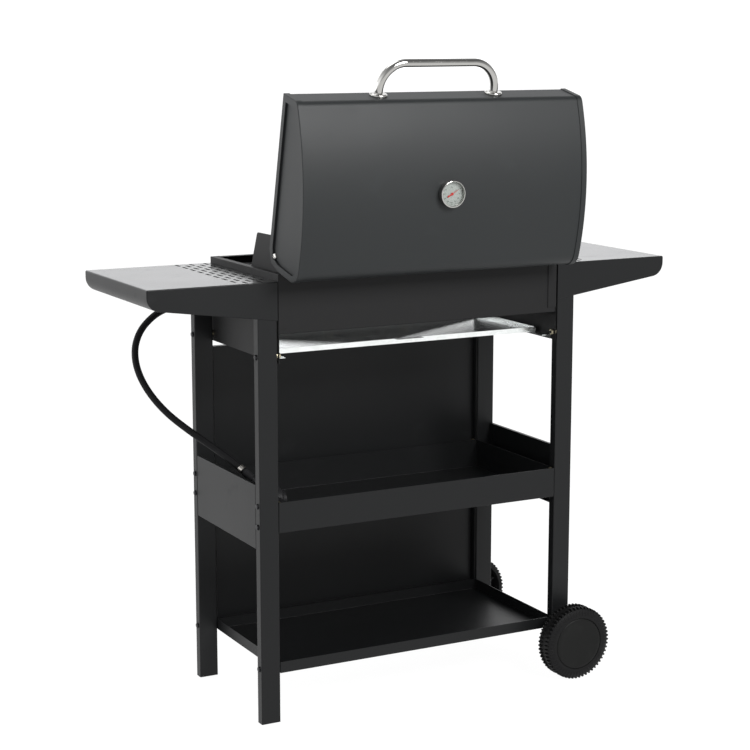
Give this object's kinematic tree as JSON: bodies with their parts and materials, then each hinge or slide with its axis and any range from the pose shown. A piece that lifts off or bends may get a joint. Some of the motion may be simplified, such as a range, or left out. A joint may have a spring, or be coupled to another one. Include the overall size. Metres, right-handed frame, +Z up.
{
  "type": "gas barbecue grill",
  "caption": "Freestanding gas barbecue on a two-shelf cart with a hinged hood, side shelves, control knobs, grease tray and two wheels.",
  "frame": {"origin": "on the floor, at the centre between the four legs", "axes": "+Z up, -Y towards the cook and the control panel, +X towards the gas hose, wheels at -X"},
  "size_m": [1.152, 0.5656, 1.2828],
  "materials": {
    "black_powder_coat": "satin powder coat",
    "lid_enamel": "satin black enamel",
    "firebox_enamel": "matt heat-resistant black",
    "polished_steel": "polished",
    "galvanised_steel": "bright galvanised",
    "zinc_plate": "yellow zinc plate",
    "blackened_steel": "black oxide",
    "stainless_steel": "brushed",
    "grate_iron": "matt enamelled",
    "brass": "turned",
    "zinc_alloy": "die cast, painted dark grey",
    "ceramic_white": "glazed",
    "black_plastic": "moulded, matt",
    "knob_plastic": "moulded, satin",
    "black_rubber": "smooth",
    "dial_white": "printed white",
    "needle_red": "painted red",
    "clear_glass": "clear"
  },
  "bodies": {
    "cart": {"axle": "galvanised_steel", "axle_clips": "zinc_plate", "bottom_shelf": "black_powder_coat", "burners": "stainless_steel", "control_panel": "black_powder_coat", "firebox_end_left": "firebox_enamel", "firebox_end_right": "firebox_enamel", "firebox_front_wall": "firebox_enamel", "firebox_rails": "galvanised_steel", "firebox_rear_wall": "firebox_enamel", "flame_tamers": "stainless_steel", "foot_plugs": "black_plastic", "frame_bolts": "blackened_steel", "frame_nuts": "zinc_plate", "front_panel": "black_powder_coat", "gas_hose": "black_rubber", "gas_manifold": "galvanised_steel", "gas_regulator": "zinc_alloy", "gas_valves": "brass", "hinge_bolts": "polished_steel", "hinge_plates": "firebox_enamel", "hose_clamp": "stainless_steel", "hose_inlet_nut": "brass", "igniter_electrodes": "ceramic_white", "igniter_housing": "black_plastic", "lower_legs": "black_powder_coat", "middle_shelf": "black_powder_coat", "side_plates": "black_powder_coat", "side_table_left": "black_powder_coat", "side_table_right": "black_powder_coat", "spacer_washers": "zinc_plate", "tray_rails": "galvanised_steel", "upper_legs": "black_powder_coat"},
    "lid": {"lid_skin": "lid_enamel", "lid_end_right": "lid_enamel", "lid_end_left": "lid_enamel", "lid_handle": "polished_steel", "handle_rosettes": "polished_steel", "lid_fasteners": "zinc_plate", "thermometer_case": "polished_steel", "thermometer_dial": "dial_white", "thermometer_glass": "clear_glass"},
    "needle": {"thermometer_needle": "needle_red"},
    "front_wheel": {"wheel_front": "black_plastic", "hub_cap_front": "black_plastic"},
    "rear_wheel": {"wheel_rear": "black_plastic", "hub_cap_rear": "black_plastic"},
    "igniter": {"igniter_button": "knob_plastic"},
    "tray": {"grease_tray": "galvanised_steel"},
    "left_grate": {"cooking_grate_left": "grate_iron"},
    "right_grate": {"cooking_grate_right": "grate_iron"},
    "plug_1": {"valve_plug_1": "brass"},
    "stem_1": {"valve_stem_1": "stainless_steel", "knob_1": "knob_plastic"},
    "plug_2": {"valve_plug_2": "brass"},
    "stem_2": {"valve_stem_2": "stainless_steel", "knob_2": "knob_plastic"},
    "plug_3": {"valve_plug_3": "brass"},
    "stem_3": {"valve_stem_3": "stainless_steel", "knob_3": "knob_plastic"}
  },
  "joints": [
    {"name": "lid_hinge", "type": "hinge", "parent": "cart", "child": "lid", "pos_m": [0, 0.142, 0.915], "axis": [1, 0, 0], "range_deg": [0, 104.5]},
    {"name": "needle_turn", "type": "hinge", "parent": "lid", "child": "needle", "pos_m": [0, 0.27037, 1.03092], "axis": [0, 0.9994, -0.034], "range_deg": [-240, 0], "stiffness_Nm_per_rad": 0.0005},
    {"name": "front_wheel_spin", "type": "hinge", "parent": "cart", "child": "front_wheel", "pos_m": [-0.34, -0.2115, 0.077], "axis": [0, 1, 0], "continuous": true},
    {"name": "rear_wheel_spin", "type": "hinge", "parent": "cart", "child": "rear_wheel", "pos_m": [-0.34, 0.2115, 0.077], "axis": [0, 1, 0], "continuous": true},
    {"name": "tray_slide", "type": "slide", "parent": "cart", "child": "tray", "axis": [0, 1, 0], "range_m": [0, 0.25]},
    {"name": "left_grate_lift", "type": "slide", "parent": "cart", "child": "left_grate", "axis": [0, 0, 1], "range_m": [0, 0.04]},
    {"name": "right_grate_lift", "type": "slide", "parent": "cart", "child": "right_grate", "axis": [0, 0, 1], "range_m": [0, 0.04]},
    {"name": "igniter_press", "type": "slide", "parent": "cart", "child": "igniter", "axis": [0, 0.9181, -0.3964], "range_m": [0, 0.004], "stiffness_N_per_m": 1500},
    {"name": "valve_turn_1", "type": "hinge", "parent": "cart", "child": "plug_1", "pos_m": [-0.19, -0.245, 0.818], "axis": [0, -0.9181, 0.3964], "range_deg": [0, 180]},
    {"name": "knob_press_1", "type": "slide", "parent": "plug_1", "child": "stem_1", "axis": [0, 0.9181, -0.3964], "range_m": [0, 0.003], "stiffness_N_per_m": 1500},
    {"name": "valve_turn_2", "type": "hinge", "parent": "cart", "child": "plug_2", "pos_m": [0, -0.245, 0.818], "axis": [0, -0.9181, 0.3964], "range_deg": [0, 180]},
    {"name": "knob_press_2", "type": "slide", "parent": "plug_2", "child": "stem_2", "axis": [0, 0.9181, -0.3964], "range_m": [0, 0.003], "stiffness_N_per_m": 1500},
    {"name": "valve_turn_3", "type": "hinge", "parent": "cart", "child": "plug_3", "pos_m": [0.19, -0.245, 0.818], "axis": [0, -0.9181, 0.3964], "range_deg": [0, 180]},
    {"name": "knob_press_3", "type": "slide", "parent": "plug_3", "child": "stem_3", "axis": [0, 0.9181, -0.3964], "range_m": [0, 0.003], "stiffness_N_per_m": 1500}
  ]
}
